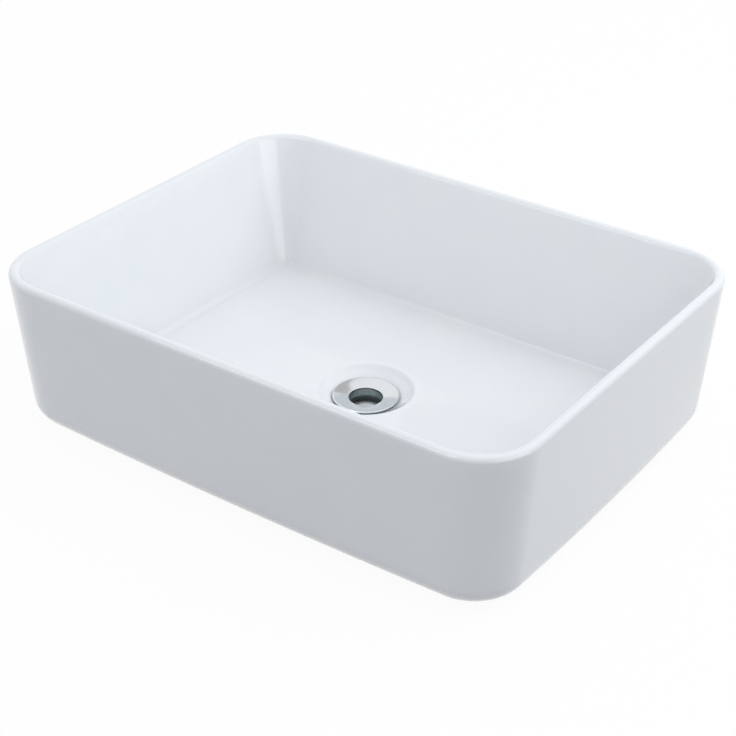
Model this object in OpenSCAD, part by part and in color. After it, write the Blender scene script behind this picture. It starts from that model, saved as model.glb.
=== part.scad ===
// Rectangular countertop basin with its open waste, shown without the countertop.
// The foot stands on z = 0, the waste's axis is the Z axis, and the front wall faces -Y.

/* [Basin outside] */
// Length across the rim, left to right
basin_length = 480; // [440:5:600]
// Width across the rim, front to back
basin_width = 370; // [330:5:460]
// Height from the foot to the top of the rim
basin_height = 140; // [125:5:180]
// How far each end wall draws in between rim and foot
end_draft = 5.3; // [0:0.1:12]
// How far each long wall draws in between rim and foot
side_draft = 7.3; // [0:0.1:12]
// Corner radius of the rim, seen from above
rim_corner_r = 50; // [35:1:70]
// Corner radius of the walls where they meet the foot rounding
foot_corner_r = 40; // [32:1:70]
// How far the walls belly out between their corners, at the foot
foot_bow = 3.9; // [0:0.1:6]
// Inward reach of the rounding under the walls
foot_round_in = 26; // [15:0.1:32]
// Height of the rounding under the walls
foot_round_up = 24; // [12:0.1:32]
// Width of the flat ring that the basin stands on
foot_land = 8; // [5:0.5:14]

/* [Bowl] */
// Thickness of the rim
rim_width = 9.2; // [9:0.2:16]
// Rounding of the rim's two edges
rim_round = 4.4; // [2:0.1:4.5]
// Height of the bowl's floor above the foot
floor_z = 28.5; // [25:0.5:40]
// Distance from the rim's outside to the foot of each end wall in the bowl
end_inset = 46.6; // [40:0.2:70]
// Distance from the rim's outside to the foot of each long wall in the bowl
side_inset = 48.2; // [40:0.2:70]
// Fillet between the floor and the end walls
end_fillet = 8; // [3:1:24]
// Fillet between the floor and the long walls
side_fillet = 5; // [3:1:24]
// How far the end walls of the bowl belly out between their corners, at the floor
bowl_bow = 3; // [0:0.1:6]
// Corner radius of the bowl where its walls reach the floor fillet
bowl_corner_r = 12; // [10:1:34]
// Fall of the floor from its edge to the waste
floor_fall = 0.8; // [0.2:0.1:3]
// Width of the level floor round the waste recess
floor_land = 6; // [3:0.5:10]

/* [Ceramic thickness] */
// Thickness of the outer walls
skirt_t = 9; // [7:0.5:11]
// Thickness of the bowl's walls and floor
bowl_t = 9; // [7:0.5:11]
// Height at which outer wall and bowl wall grow together
crown_z = 86; // [60:1:92]
// Radius of the thickened ring round the waste hole
boss_r = 38; // [34:1:45]
// Height of that ring's underside above the foot
boss_z = 5; // [2:0.5:8]
// Width of the level underside round that ring
boss_land = 10; // [4:1:14]

/* [Waste recess] */
// Radius of the shallow recess round the waste, at the floor
recess_r = 41.5; // [38:0.5:46]
// Width of the short, steep lip at the recess's edge
lip_width = 5.5; // [4:0.5:8]
// Fall of that lip
lip_fall = 3.8; // [2:0.1:4.5]
// Depth of the waste flange's rim below the floor around it
recess_depth = 6; // [5:0.1:8]
// Radius of the hole through the ceramic
hole_r = 22.2; // [20.5:0.1:24]

/* [Waste] */
// Radius of the waste's flange
flange_r = 28; // [26:0.5:31]
// Thickness of the flange
flange_t = 1.6; // [1.4:0.1:3]
// Fall of the dished flange from its rim to the throat
flange_dish = 2.4; // [1:0.1:3.5]
// Width of the flange's level outer edge
flange_edge = 1.2; // [0.6:0.1:2]
// Radius of the throat
throat_r = 14.3; // [13:0.1:15]
// Outside radius of the threaded shank
shank_r = 19.05; // [18.6:0.05:19.6]
// Length of the shank below the foot
shank_drop = 50; // [46:1:80]
// Depth of the socket at the shank's lower end
socket_depth = 14; // [10:0.5:20]
// Thickness of the gasket under the flange
gasket_t = 1.2; // [0.8:0.1:2]
// How far the gasket stays back from the flange's edge
gasket_back = 0.6; // [0.4:0.1:3]

/* [Strainer] */
// Depth of the strainer's solid centre below the throat's upper edge
strainer_depth = 9.8; // [6:0.1:12]
// Height of that centre
strainer_t = 5.2; // [3:0.1:7]
// Radius of the strainer's solid centre
strainer_hub_r = 9; // [7:0.1:10.5]
// Rise of the dome on that centre
strainer_dome = 0.9; // [0.4:0.1:1.5]
// How far the strainer's pocket is narrower than the throat, on each side
strainer_step = 0.3; // [0.1:0.1:0.6]
// Width of the strainer's outer ring
strainer_ring = 1.3; // [1:0.1:1.6]
// Width of the arms
strainer_arm = 3; // [2:0.1:4]
// Thickness of the arms and of the outer ring
strainer_arm_t = 1.8; // [1:0.1:2.4]
// Number of arms
strainer_arms = 3; // [3:1:6]

/* [Clamp under the counter] */
// Thickness of the countertop that the waste clamps
counter_t = 20; // [12:1:22]
// How far the rubber washer and the slip ring reach past the flange's edge
washer_over = 0.5; // [0:0.5:3]
// Height of the rubber washer
washer_t = 6; // [4:0.5:7]
// Bevel on the rubber washer's upper edge
washer_bevel = 3; // [1:0.5:3.5]
// Thickness of the slip ring
slip_t = 1.6; // [1:0.1:2]
// Width across the flats of the lock nut
nut_flats = 52; // [46:1:56]
// Height of the lock nut
nut_h = 9; // [7:0.5:10]
// Chamfer on the lock nut's corners
nut_chamfer = 1.5; // [0.5:0.1:2]

/* [Tailpiece] */
// Outside radius of the tailpiece
tail_r = 15.875; // [15.4:0.005:16.3]
// Wall of the tailpiece
tail_wall = 1.6; // [1:0.1:2.5]
// How far the tailpiece's screwed end is turned down, on each side
tail_step = 0.4; // [0.2:0.1:0.8]
// Length of the screwed end that shows below the shank
tail_neck = 2; // [1:0.5:4]
// Length of the tailpiece that shows below the shank
tail_reach = 75; // [40:5:150]
// Thickness of the seal above the tailpiece
seal_t = 1.5; // [1:0.1:3]

/* [Clearances] */
// Radial gap of a screwed or pushed joint
thread_gap = 0.12; // [0.05:0.01:0.3]
// Radial gap of a washer on the shank
washer_gap = 0.4; // [0.2:0.1:0.8]

/* [Hidden] */
$fn = 96;

// Steps of a corner, of a straight wall, of a rounding and of a wall's height
corner_steps = 12;
flat_steps = 8;
round_steps = 7;
wall_steps = 3;
lip_steps = 8;
// Past a cut's own faces
cut_over = 1;
// Sides of the lock nut
nut_sides = 6;

// Half sizes of the rim
half_l = basin_length / 2;
half_w = basin_width / 2;
// The corner radius shrinks by this share of an inward rounding
corner_share = 0.6;
least_corner_r = 3;
// Height of the tops of the outer walls
shoulder_z = basin_height - rim_round;
// Inset of the centre of the rim's inner rounding
rim_inner = rim_width - rim_round;

// Level part of the floor round the recess, its height, and the height of the bowl's underside
eye_r = recess_r + floor_land;
eye_z = floor_z - floor_fall;
belly_z = eye_z - bowl_t;
belly_eye_r = boss_r + boss_land;

// Heights of the waste, from the flange's rim downwards
flange_z = eye_z - recess_depth;
throat_z = flange_z - flange_dish;
dish_slope = flange_dish / (flange_r - flange_edge - throat_r);
gasket_r = flange_r - gasket_back;
lip_r = recess_r - lip_width;
strainer_z = throat_z - strainer_depth;
strainer_seat_z = strainer_z - strainer_t;
pocket_r = throat_r - strainer_step;
strainer_seat_r = pocket_r - strainer_ring + thread_gap;
shank_end_z = -shank_drop;
socket_z = shank_end_z + socket_depth;
tail_screw_r = tail_r - tail_step;
socket_r = tail_screw_r + thread_gap;
tail_top_z = socket_z - seal_t;
tail_step_z = shank_end_z - tail_neck;
tail_end_z = shank_end_z - tail_reach;

// Clamp under the counter
clamp_z = -counter_t;
slip_z = clamp_z - washer_t;
nut_z = slip_z - slip_t;
washer_r = flange_r + washer_over;

function mix(a, b, s) = a + (b - a) * s;

// Tilt from the vertical of a bowl wall that leaves the rim's rounding and meets the floor at an inset
function wall_tilt(inset) =
    let (dx = inset - rim_inner, dz = floor_z - shoulder_z)
    atan2(dz, dx) + acos(rim_round / norm([dx, dz]));

// Inset of the centre of a floor fillet between that wall and the floor
function fillet_inset(inset, fillet) =
    let (a = wall_tilt(inset))
    rim_inner + (rim_round + fillet - (floor_z + fillet - shoulder_z) * sin(a)) / cos(a);

// Inset and height on the rim's inner rounding, s from 0 at the top to 1 where the wall begins
function rim_point(inset, s) =
    let (a = mix(90, wall_tilt(inset), s))
    [rim_inner + rim_round * cos(a), shoulder_z + rim_round * sin(a)];

// Inset and height on a floor fillet, s from 0 at the wall to 1 at the floor, drawn back by t of ceramic
function fillet_point(inset, fillet, s, t = 0) =
    let (a = mix(wall_tilt(inset), 90, s), r = fillet + t)
    [fillet_inset(inset, fillet) - r * cos(a), floor_z + fillet - r * sin(a)];

// Inset of the bowl wall's hidden face at a height
function back_inset(inset, z) =
    let (a = wall_tilt(inset))
    inset - (z - floor_z) * tan(a) - bowl_t / cos(a);

// Points of a rounded rectangle, each with the share of its outward direction that lies along X
function outline(hl, hw, r) = [
    for (q = [0:3])
        let (
            cx = (q == 0 || q == 3 ? 1 : -1) * (hl - r),
            cy = (q < 2 ? 1 : -1) * (hw - r),
            run = 2 * (q % 2 == 0 ? hl - r : hw - r),
            turn = 90 * (q + 1)
        )
        each concat(
            [for (k = [0:corner_steps])
                let (a = 90 * (q + k / corner_steps))
                [cx + r * cos(a), cy + r * sin(a), pow(cos(a), 2)]],
            [for (k = [1:flat_steps - 1])
                let (along = run * k / flat_steps)
                [cx + r * cos(turn) + along * cos(turn + 90),
                    cy + r * sin(turn) + along * sin(turn + 90), pow(cos(turn), 2)]]
        )
];

// One ring of a skin: insets, heights and bows are pairs, for the end walls and for the long walls
function ring(insets, heights, r, bows = [0, 0]) =
    let (hl = half_l - insets[0], hw = half_w - insets[1])
    [for (p = outline(hl, hw, max(r, least_corner_r)))
        [p[0] * (1 - bows[0] / hl * pow(p[1] / hw, 2)), p[1] * (1 - bows[1] / hw * pow(p[0] / hl, 2)),
            mix(heights[1], heights[0], p[2])]];

// A ring drawn towards a level circle by a share s
function eye_ring(from, r, z, s) = [
    for (p = from)
        let (a = atan2(p[1], p[0]))
        [mix(p[0], r * cos(a), s), mix(p[1], r * sin(a), s), mix(p[2], z, s)]
];

// A closed skin through a list of rings, with a level face at its first and last ring
module skin(rings) {
    n = len(rings[0]);
    points = [for (one = rings) each one];
    sides = [
        for (i = [0:len(rings) - 2])
            for (k = [0:n - 1])
                let (a = i * n + k, b = i * n + (k + 1) % n)
                each [[a, a + n, b + n], [a, b + n, b]]
    ];
    first = [for (k = [0:n - 1]) k];
    last = [for (k = [n - 1:-1:0]) (len(rings) - 1) * n + k];
    polyhedron(points = points, faces = concat([first], sides, [last]), convexity = 6);
}

// Inset of the outer wall's face and its other measures at a share s of its height above the foot rounding
function wall_insets(s, more = 0) = [mix(end_draft, 0, s) + more, mix(side_draft, 0, s) + more];
function wall_z(s) = mix(foot_round_up, shoulder_z, s);
function wall_corner_r(s) = mix(foot_corner_r, rim_corner_r, s);
function wall_bow(s) = [1, 1] * mix(foot_bow, 0, s);

// Outer face from the foot up to the rim's top
function outer_rings() = concat(
    [for (k = [0:round_steps])
        let (
            a = 90 * (1 - k / round_steps),
            reach = foot_round_in * (1 - cos(a)),
            z = foot_round_up * (1 - sin(a))
        )
        ring(wall_insets(0, reach), [z, z], foot_corner_r - corner_share * reach, wall_bow(0))],
    [for (k = [1:wall_steps - 1])
        let (s = k / wall_steps)
        ring(wall_insets(s), [wall_z(s), wall_z(s)], wall_corner_r(s), wall_bow(s))],
    [for (k = [0:round_steps])
        let (a = 90 * k / round_steps, in = rim_round * (1 - cos(a)), z = shoulder_z + rim_round * sin(a))
        ring([in, in], [z, z], rim_corner_r - in)]
);

// Bowl face from the rim's top down to the level floor round the waste
function bowl_rings() =
    let (
        corner_top = rim_corner_r - rim_width,
        e0 = rim_point(end_inset, 1),
        s0 = rim_point(side_inset, 1),
        e1 = fillet_point(end_inset, end_fillet, 0),
        s1 = fillet_point(side_inset, side_fillet, 0),
        edge = bowl_floor_ring()
    )
    concat(
        [for (k = [0:round_steps])
            let (e = rim_point(end_inset, k / round_steps), s = rim_point(side_inset, k / round_steps))
            ring([e[0], s[0]], [e[1], s[1]], rim_corner_r - mix(e[0], s[0], 1 / 2))],
        [for (k = [1:wall_steps])
            let (t = k / (wall_steps + 1), e = mix(e0, e1, t), s = mix(s0, s1, t))
            ring([e[0], s[0]], [e[1], s[1]], mix(corner_top, bowl_corner_r, t), [bowl_bow * t, 0])],
        [for (k = [0:round_steps]) fillet_ring(k / round_steps)],
        [for (k = [1:wall_steps]) eye_ring(edge, eye_r, eye_z, k / wall_steps)]
    );

// A ring of the floor fillet
function fillet_ring(s) =
    let (
        e = fillet_point(end_inset, end_fillet, s),
        w = fillet_point(side_inset, side_fillet, s),
        start = fillet_point(end_inset, end_fillet, 0)
    )
    ring([e[0], w[0]], [e[1], w[1]], bowl_corner_r - corner_share * (e[0] - start[0]), [bowl_bow, 0]);

function bowl_floor_ring() = fillet_ring(1);

// Hollow under the bowl: up inside the outer wall, over the crown and down the bowl's back
function hollow_rings() =
    let (
        foot_in = foot_round_in + foot_land,
        foot_r = foot_corner_r - corner_share * foot_in,
        foot_lift = skirt_t / 2,
        crown_s = (crown_z - foot_round_up) / (shoulder_z - foot_round_up),
        crown_in = wall_insets(crown_s, skirt_t),
        back_top = [back_inset(end_inset, crown_z), back_inset(side_inset, crown_z)],
        crown_mid = [mix(crown_in[0], back_top[0], 1 / 2), mix(crown_in[1], back_top[1], 1 / 2)],
        crown_up = min(back_top[0] - crown_in[0], back_top[1] - crown_in[1]) / 2,
        crown_r = wall_corner_r(crown_s) - skirt_t,
        back_r = bowl_corner_r + bowl_t,
        edge = belly_ring(1)
    )
    concat(
        [ring(wall_insets(0, foot_in), [-cut_over, -cut_over], foot_r, wall_bow(0))],
        [for (k = [0:round_steps - 1])
            let (
                a = 90 * (1 - k / round_steps),
                reach = mix(skirt_t, foot_in, 1 - cos(a)),
                z = foot_lift + foot_round_up * (1 - sin(a))
            )
            ring(wall_insets(0, reach), [z, z], foot_corner_r - corner_share * reach, wall_bow(0))],
        [for (k = [1:wall_steps])
            let (s = crown_s * k / wall_steps)
            ring(wall_insets(s, skirt_t), [wall_z(s), wall_z(s)], wall_corner_r(s) - skirt_t, wall_bow(s))],
        [ring(crown_mid, [crown_z + crown_up, crown_z + crown_up], mix(crown_r, back_r, 1 / 2))],
        [ring(back_top, [crown_z, crown_z], mix(crown_r, back_r, 1 / 2))],
        [for (k = [0:round_steps]) belly_ring(k / round_steps)],
        [for (k = [1:wall_steps - 1]) eye_ring(edge, belly_eye_r, belly_z, k / (wall_steps - 1))]
    );

// A ring of the bowl's underside round the floor fillet
function belly_ring(s) =
    let (
        e = fillet_point(end_inset, end_fillet, s, bowl_t),
        w = fillet_point(side_inset, side_fillet, s, bowl_t),
        start = fillet_point(end_inset, end_fillet, 0, bowl_t)
    )
    ring([e[0], w[0]], [e[1], w[1]], bowl_corner_r + bowl_t / 2 - corner_share * (e[0] - start[0]),
        [bowl_bow, 0]);

// Height of the flange's underside at a radius, and of the seat under its gasket
function under_flange(r) = throat_z - flange_t + dish_slope * (r - throat_r);
function seat(r) = under_flange(r) - gasket_t;

// Height of the recess's lip at a share s of its width: level where it leaves the floor, and as steep
// as the slope to the flange where it ends
function lip_z(s) =
    let (slope = (eye_z - lip_fall - seat(flange_r)) / (lip_r - flange_r))
    eye_z - lip_fall * s * s * (3 - 2 * s) + slope * lip_width * s * s * (1 - s);

// What the waste takes out of the ceramic: recess, seat and hole, as one turned outline
module waste_cut() {
    rotate_extrude()
        polygon(concat(
            [[0, eye_z + cut_over], [recess_r, eye_z + cut_over]],
            [for (k = [0:lip_steps]) let (s = k / lip_steps) [mix(recess_r, lip_r, s), lip_z(s)]],
            [
                [flange_r, seat(flange_r)],
                [hole_r, seat(hole_r)],
                [hole_r, -cut_over],
                [0, -cut_over]
            ]
        ));
}

module basin() {
    color([0.93, 0.94, 0.96])
        difference() {
            skin(concat(outer_rings(), bowl_rings()));
            difference() {
                skin(hollow_rings());
                translate([0, 0, boss_z])
                    cylinder(r = boss_r, h = floor_z - boss_z);
            }
            waste_cut();
        }
}

module waste_body() {
    color([0.8, 0.82, 0.84])
        rotate_extrude()
            polygon([
                [throat_r, throat_z],
                [flange_r - flange_edge, flange_z],
                [flange_r - flange_edge / 2, flange_z],
                [flange_r, flange_z - flange_edge / 2],
                [flange_r, under_flange(flange_r)],
                [shank_r, under_flange(shank_r)],
                [shank_r, shank_end_z],
                [socket_r, shank_end_z],
                [socket_r, socket_z],
                [strainer_seat_r, socket_z],
                [strainer_seat_r, strainer_seat_z],
                [pocket_r, strainer_seat_z],
                [pocket_r, strainer_z],
                [throat_r, strainer_z]
            ]);
}

module flange_gasket() {
    inner = shank_r + washer_gap;
    color([0.25, 0.25, 0.26])
        rotate_extrude()
            polygon([
                [inner, under_flange(inner)],
                [gasket_r, under_flange(gasket_r)],
                [gasket_r, seat(gasket_r)],
                [inner, seat(inner)]
            ]);
}

module strainer() {
    ring_r = pocket_r - thread_gap;
    color([0.78, 0.8, 0.82])
        union() {
            translate([0, 0, strainer_seat_z])
                difference() {
                    cylinder(r = ring_r, h = strainer_arm_t);
                    translate([0, 0, -cut_over])
                        cylinder(r = ring_r - strainer_ring, h = strainer_arm_t + 2 * cut_over);
                }
            for (k = [0:strainer_arms - 1])
                rotate([0, 0, 360 * k / strainer_arms + 180 / strainer_arms])
                    translate([0, -strainer_arm / 2, strainer_seat_z])
                        cube([ring_r - strainer_ring / 2, strainer_arm, strainer_arm_t]);
            rotate_extrude()
                polygon(concat(
                    [[0, strainer_seat_z], [strainer_hub_r, strainer_seat_z]],
                    [for (k = [0:lip_steps])
                        let (a = 90 * k / lip_steps)
                        [strainer_hub_r * cos(a), strainer_z - strainer_dome + strainer_dome * sin(a)]]
                ));
        }
}

module rubber_washer() {
    inner = shank_r + washer_gap;
    color([0.12, 0.12, 0.13])
        rotate_extrude()
            polygon([
                [inner, slip_z],
                [washer_r, slip_z],
                [washer_r, clamp_z - washer_bevel],
                [washer_r - washer_bevel, clamp_z],
                [inner, clamp_z]
            ]);
}

module slip_ring() {
    color([0.85, 0.85, 0.82])
        translate([0, 0, nut_z])
            difference() {
                cylinder(r = washer_r, h = slip_t);
                translate([0, 0, -cut_over])
                    cylinder(r = shank_r + washer_gap, h = slip_t + 2 * cut_over);
            }
}

module lock_nut() {
    flat_r = nut_flats / 2;
    corner_r = flat_r / cos(180 / nut_sides);
    color([0.76, 0.68, 0.45])
        translate([0, 0, nut_z - nut_h])
            difference() {
                intersection() {
                    rotate([0, 0, 180 / nut_sides])
                        cylinder(r = corner_r, h = nut_h, $fn = nut_sides);
                    rotate_extrude()
                        polygon([
                            [0, 0],
                            [flat_r, 0],
                            [corner_r, nut_chamfer],
                            [corner_r, nut_h - nut_chamfer],
                            [flat_r, nut_h],
                            [0, nut_h]
                        ]);
                }
                translate([0, 0, -cut_over])
                    cylinder(r = shank_r + thread_gap, h = nut_h + 2 * cut_over);
            }
}

module tailpiece() {
    bore_r = tail_r - tail_wall;
    color([0.8, 0.82, 0.84])
        rotate_extrude()
            polygon([
                [bore_r, tail_end_z],
                [tail_r, tail_end_z],
                [tail_r, tail_step_z],
                [tail_screw_r, tail_step_z],
                [tail_screw_r, tail_top_z],
                [bore_r, tail_top_z]
            ]);
}

module tailpiece_seal() {
    color([0.15, 0.15, 0.16])
        translate([0, 0, tail_top_z])
            difference() {
                cylinder(r = tail_screw_r, h = seal_t);
                translate([0, 0, -cut_over])
                    cylinder(r = tail_r - tail_wall, h = seal_t + 2 * cut_over);
            }
}

basin();
waste_body();
flange_gasket();
strainer();
rubber_washer();
slip_ring();
lock_nut();
tailpiece();
tailpiece_seal();
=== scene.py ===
"""A rectangular ceramic countertop basin with its open waste, in a plain white studio.

The file is laid out as an add-on: the sizes, colours and studio settings are properties of the scene,
and one operator makes each piece or group of like pieces from them. All lengths are in metres. The
basin's foot stands on z = 0, the waste's axis is the Z axis and the front wall faces -Y.
"""

import math

import bmesh
import bpy
from bpy.props import FloatProperty, FloatVectorProperty, IntProperty, PointerProperty
from bpy.types import Operator, Panel, PropertyGroup
from mathutils import Matrix, Vector


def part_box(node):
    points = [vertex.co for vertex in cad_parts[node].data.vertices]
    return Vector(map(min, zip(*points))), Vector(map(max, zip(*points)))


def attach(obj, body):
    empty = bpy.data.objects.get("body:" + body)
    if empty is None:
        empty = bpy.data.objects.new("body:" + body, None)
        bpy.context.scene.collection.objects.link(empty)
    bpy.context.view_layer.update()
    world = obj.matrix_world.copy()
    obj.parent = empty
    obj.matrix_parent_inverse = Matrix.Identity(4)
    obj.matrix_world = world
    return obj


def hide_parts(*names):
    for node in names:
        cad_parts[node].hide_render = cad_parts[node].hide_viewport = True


bl_info = {
    "name": "Countertop Basin",
    "version": (1, 0, 0),
    "blender": (4, 5, 0),
    "location": "3D View > Sidebar > Basin",
    "description": "Makes a rectangular ceramic basin with its waste, their finishes and a white studio",
    "category": "Add Mesh",
}

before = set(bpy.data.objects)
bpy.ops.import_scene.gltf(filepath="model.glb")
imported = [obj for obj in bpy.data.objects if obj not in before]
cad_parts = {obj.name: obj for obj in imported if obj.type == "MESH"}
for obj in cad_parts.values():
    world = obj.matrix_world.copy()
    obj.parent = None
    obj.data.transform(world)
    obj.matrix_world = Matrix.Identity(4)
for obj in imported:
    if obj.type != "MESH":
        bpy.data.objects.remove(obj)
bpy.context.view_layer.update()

BODY = "root"
MM = 0.001
QUARTER = math.pi / 2
TURN = 2 * math.pi
# Lengths closer than this count as equal
FINE = 0.01 * MM
PLAIN_WHITE = (1.0, 1.0, 1.0)

# Steps of a corner and of the flats on one section of the ceramic
CORNER_STEPS = 16
LONG_STEPS = 32
SHORT_STEPS = 24
# Steps of a rounding, of a straight wall and of a hidden rounding
ROUND_STEPS = 12
WALL_STEPS = 10
HIDDEN_STEPS = 5
# Steps round a turned piece, of a bevel on its outline and of one turn of a thread
TURNED_STEPS = 128
BEVEL_STEPS = 3
THREAD_STEPS = 8
# Distances between the nodes of a material
COLUMN = 240
ROW = 320

BASIN_LOW, BASIN_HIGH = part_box("basin")
WASTE_LOW, WASTE_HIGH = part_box("waste_body")
STRAINER_LOW, STRAINER_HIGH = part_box("strainer")
WASHER_LOW, WASHER_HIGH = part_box("rubber_washer")
SLIP_LOW, SLIP_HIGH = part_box("slip_ring")
NUT_LOW, NUT_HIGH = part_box("lock_nut")
TAIL_LOW, TAIL_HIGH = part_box("tailpiece")
SEAL_LOW, SEAL_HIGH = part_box("tailpiece_seal")

METRIC = {"precision": 4, "unit": "LENGTH", "subtype": "DISTANCE"}


def length(name, description, metres):
    """A length that the user can change."""
    return FloatProperty(name=name, description=description, default=metres, min=0.0, **METRIC)


def height(name, description, metres):
    """A height above or below the foot, or a shift, that the user can change."""
    return FloatProperty(name=name, description=description, default=metres, **METRIC)


def share(name, description, value, high=1.0):
    """A plain number from zero up that the user can change."""
    return FloatProperty(name=name, description=description, default=value, min=0.0, max=high)


def power(name, description, watts):
    """The strength of a lamp that the user can change."""
    return FloatProperty(name=name, description=description, default=watts, min=0.0, unit="POWER")


def angle(name, description, degrees):
    """An angle that the user can change."""
    units = {"unit": "ROTATION", "subtype": "ANGLE"}
    return FloatProperty(name=name, description=description, default=math.radians(degrees), **units)


def colour(name, description, value):
    """A colour that the user can change."""
    limits = {"min": 0.0, "max": 1.0, "size": 3, "subtype": "COLOR"}
    return FloatVectorProperty(name=name, description=description, default=value, **limits)


class ShellSizes(PropertyGroup):
    """Sizes of the ceramic basin."""

    length: length("Length", "Length across the rim, left to right", BASIN_HIGH.x - BASIN_LOW.x)
    width: length("Width", "Width across the rim, front to back", BASIN_HIGH.y - BASIN_LOW.y)
    height: length("Height", "Height from the foot to the top of the rim", BASIN_HIGH.z)
    end_draft: length("End draft", "How far each end wall draws in between rim and foot", 5.3 * MM)
    side_draft: length("Side draft", "How far each long wall draws in between rim and foot", 7.3 * MM)
    rim_corner: length("Rim corner", "Corner radius of the rim, seen from above", 50 * MM)
    foot_corner: length("Foot corner", "Corner radius where the walls meet the foot rounding", 40 * MM)
    foot_bow: length("Foot bow", "How far the walls belly out between their corners, at the foot", 3.9 * MM)
    foot_in: length("Foot rounding in", "Inward reach of the rounding under the walls", 26 * MM)
    foot_up: length("Foot rounding up", "Height of the rounding under the walls", 24 * MM)
    foot_land: length("Foot ring", "Width of the flat ring that the basin stands on", 8 * MM)
    rim_width: length("Rim", "Thickness of the rim", 9.2 * MM)
    rim_round: length("Rim rounding", "Rounding of the rim's two edges", 4.4 * MM)
    floor: length("Floor", "Height of the bowl's floor above the foot", 28.5 * MM)
    end_inset: length("End inset", "Distance from the rim's outside to the foot of an end wall", 46.6 * MM)
    side_inset: length("Side inset", "Distance from the rim's outside to the foot of a long wall", 48.2 * MM)
    end_fillet: length("End fillet", "Fillet between the floor and the end walls", 8 * MM)
    side_fillet: length("Side fillet", "Fillet between the floor and the long walls", 5 * MM)
    bowl_bow: length("Bowl bow", "How far the end walls of the bowl belly out, at the floor", 3 * MM)
    bowl_corner: length("Bowl corner", "Corner radius where the bowl's walls reach the fillet", 12 * MM)
    floor_fall: length("Floor fall", "Fall of the floor from its edge to the waste", 0.8 * MM)
    floor_land: length("Floor land", "Width of the level floor round the waste recess", 6 * MM)
    skirt: length("Outer wall", "Thickness of the outer walls", 9 * MM)
    bowl_wall: length("Bowl wall", "Thickness of the bowl's walls and floor", 9 * MM)
    crown: length("Crown", "Height at which outer wall and bowl wall grow together", 86 * MM)
    boss: length("Boss radius", "Radius of the thickened ring round the waste hole", 38 * MM)
    boss_height: length("Boss height", "Height of that ring's underside above the foot", 5 * MM)
    boss_land: length("Boss land", "Width of the level underside round that ring", 10 * MM)
    recess: length("Recess radius", "Radius of the shallow recess round the waste, at the floor", 41.5 * MM)
    lip: length("Lip width", "Width of the short, steep lip at the recess's edge", 5.5 * MM)
    lip_fall: length("Lip fall", "Fall of that lip", 3.8 * MM)
    hole: length("Hole radius", "Radius of the hole through the ceramic", 22.2 * MM)
    corner_share: share("Corner share", "Share of an inward rounding that the corner radius loses", 0.6)


class WasteSizes(PropertyGroup):
    """Sizes of the waste, its strainer and its gasket."""

    flange: length("Flange radius", "Radius of the waste's flange", WASTE_HIGH.x)
    flange_top: height("Flange top", "Height of the flange's edge", WASTE_HIGH.z)
    flange_thick: length("Flange thickness", "Thickness of the flange", 1.6 * MM)
    flange_dish: length("Flange dish", "Fall of the dished flange from its edge to the throat", 2.4 * MM)
    flange_edge: length("Flange edge", "Width of the flange's level outer edge", 1.2 * MM)
    throat: length("Throat radius", "Radius of the throat", 14.3 * MM)
    shank: length("Shank radius", "Outside radius of the threaded shank", 19.05 * MM)
    shank_end: height("Shank end", "Height of the shank's lower end", WASTE_LOW.z)
    socket: length("Socket radius", "Radius of the socket at the shank's lower end", SEAL_HIGH.x + 0.12 * MM)
    socket_top: height("Socket top", "Height of the shoulder in the shank", SEAL_HIGH.z)
    pocket: length("Pocket radius", "Radius of the bore that holds the strainer", STRAINER_HIGH.x + 0.12 * MM)
    ledge: length("Ledge radius", "Radius of the bore below the strainer", STRAINER_HIGH.x - 1.06 * MM)
    thread_pitch: length("Thread pitch", "Pitch of the shank's thread", 2.209 * MM)
    thread_depth: length("Thread depth", "Depth of the shank's thread", 1.15 * MM)
    thread_top: height("Thread top", "Height at which the shank's thread runs out", -2 * MM)
    gasket: length("Gasket", "Thickness of the gasket under the flange", 1.2 * MM)
    gasket_back: length("Gasket edge", "How far the gasket stands back from the flange's edge", 0.6 * MM)
    clearance: length("Clearance", "Gap between a ring and what it lies round", 0.4 * MM)
    strainer_top: height("Strainer top", "Height of the strainer's dome", STRAINER_HIGH.z)
    strainer_seat: height("Strainer seat", "Height of the strainer's underside", STRAINER_LOW.z)
    hub: length("Hub radius", "Radius of the strainer's solid centre", 9 * MM)
    dome: length("Dome", "Rise of the dome on the strainer's centre", 0.9 * MM)
    ring: length("Ring", "Width of the strainer's outer ring", 1.3 * MM)
    arm: length("Arm width", "Width of the strainer's arms", 3 * MM)
    arm_thick: length("Arm thickness", "Thickness of the strainer's arms and ring", 1.8 * MM)
    arms: IntProperty(name="Arms", description="Number of the strainer's arms", default=3, min=2, max=8)


class ClampSizes(PropertyGroup):
    """Sizes of the pieces under the countertop."""

    washer: length("Washer radius", "Outside radius of the rubber washer and the slip ring", WASHER_HIGH.x)
    washer_bevel: length("Washer bevel", "Bevel on the rubber washer's upper edge", 3 * MM)
    nut_flats: length("Nut flats", "Width across the flats of the lock nut", NUT_HIGH.x - NUT_LOW.x)
    nut_chamfer: length("Nut chamfer", "Chamfer on the lock nut's corners", 1.5 * MM)
    nut_gap: length("Nut gap", "Gap between the nut's bore and the thread's crests", 0.12 * MM)
    tail: length("Tailpiece radius", "Outside radius of the tailpiece", TAIL_HIGH.x)
    tail_wall: length("Tailpiece wall", "Wall of the tailpiece", 1.6 * MM)
    tail_screw: length("Screwed end", "Radius of the tailpiece's screwed end", SEAL_HIGH.x)
    tail_neck: length("Neck", "Length of the screwed end that shows below the shank", 2 * MM)
    tail_pitch: length("Tail thread pitch", "Pitch of the thread on the tailpiece's screwed end", 0.94 * MM)
    tail_thread: length("Tail thread depth", "Depth of that thread", 0.35 * MM)


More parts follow.
